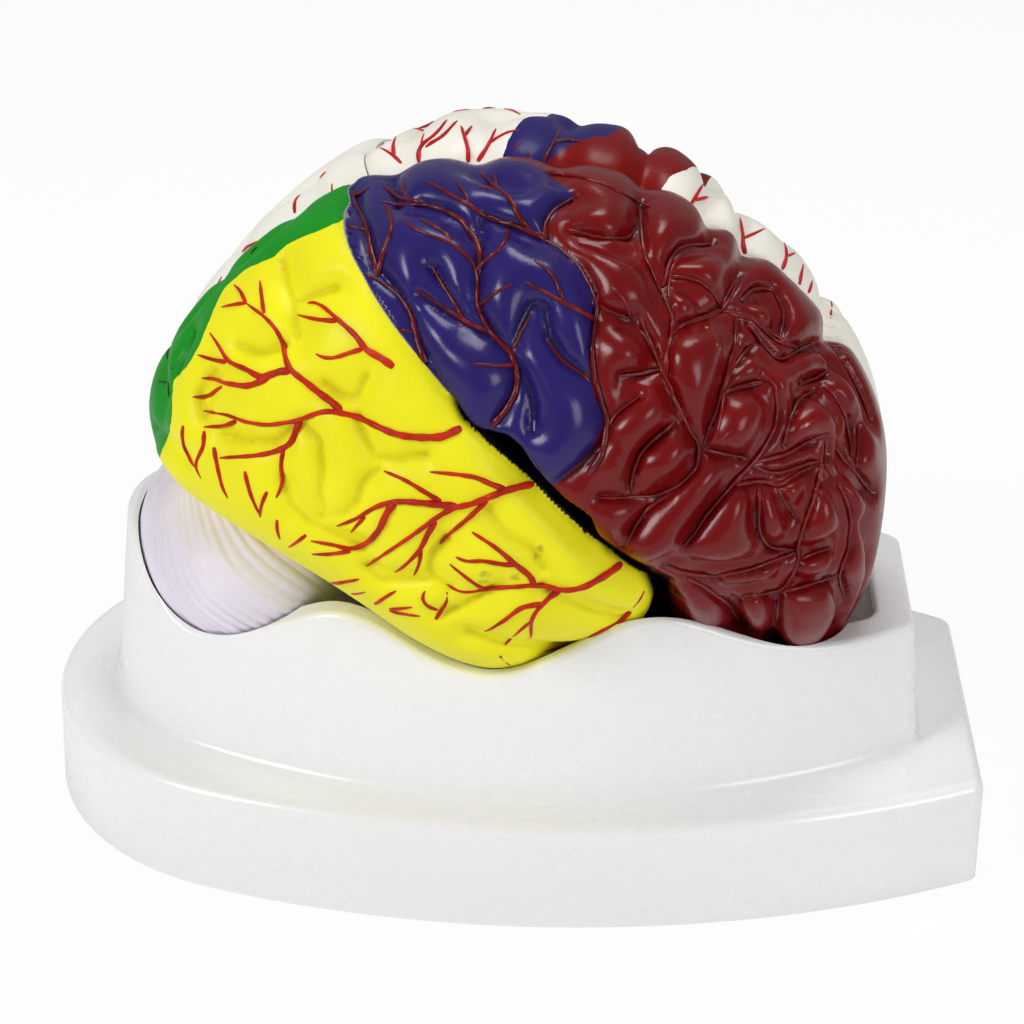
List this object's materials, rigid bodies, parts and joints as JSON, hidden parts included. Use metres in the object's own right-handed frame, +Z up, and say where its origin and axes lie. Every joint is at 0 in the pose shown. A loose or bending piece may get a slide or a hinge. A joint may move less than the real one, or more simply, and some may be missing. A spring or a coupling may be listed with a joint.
{
  "type": "brain anatomy model",
  "caption": "Life-size colour-coded dissectible brain model resting in a white cradle base; the upper front parts lift off locating pins.",
  "frame": {"origin": "centre of the base's underside, on the table", "axes": "+X towards the forehead and the straight end of the base, +Y towards the model's left side, +Z up"},
  "size_m": [0.21, 0.1316, 0.1492],
  "materials": {
    "white_moulding": "glossy white moulding",
    "paint_maroon_navy": "glossy maroon and navy paint",
    "paint_white_bands": "off-white gloss paint with navy and red bands",
    "paint_yellow_green": "satin yellow and green paint",
    "paint_off_white": "satin off-white paint",
    "paint_lavender": "satin lavender paint",
    "paint_cream": "satin cream paint",
    "pin_steel": "plain steel"
  },
  "bodies": {
    "stand_and_lower_brain": {"display_base": "white_moulding", "temporal_occipital_right": "paint_yellow_green", "temporal_occipital_left": "paint_off_white", "cerebellum_right": "paint_lavender", "cerebellum_left": "paint_lavender", "brainstem_right": "paint_cream", "brainstem_left": "paint_cream", "locating_pins": "pin_steel"},
    "upper_right_piece": {"frontal_parietal_right": "paint_maroon_navy"},
    "upper_left_piece": {"frontal_parietal_left": "paint_white_bands"}
  },
  "joints": [
    {"name": "lift_right", "type": "slide", "parent": "stand_and_lower_brain", "child": "upper_right_piece", "axis": [0, 0, 1], "range_m": [0, 0.045]},
    {"name": "lift_left", "type": "slide", "parent": "stand_and_lower_brain", "child": "upper_left_piece", "axis": [0, 0, 1], "range_m": [0, 0.045]}
  ]
}
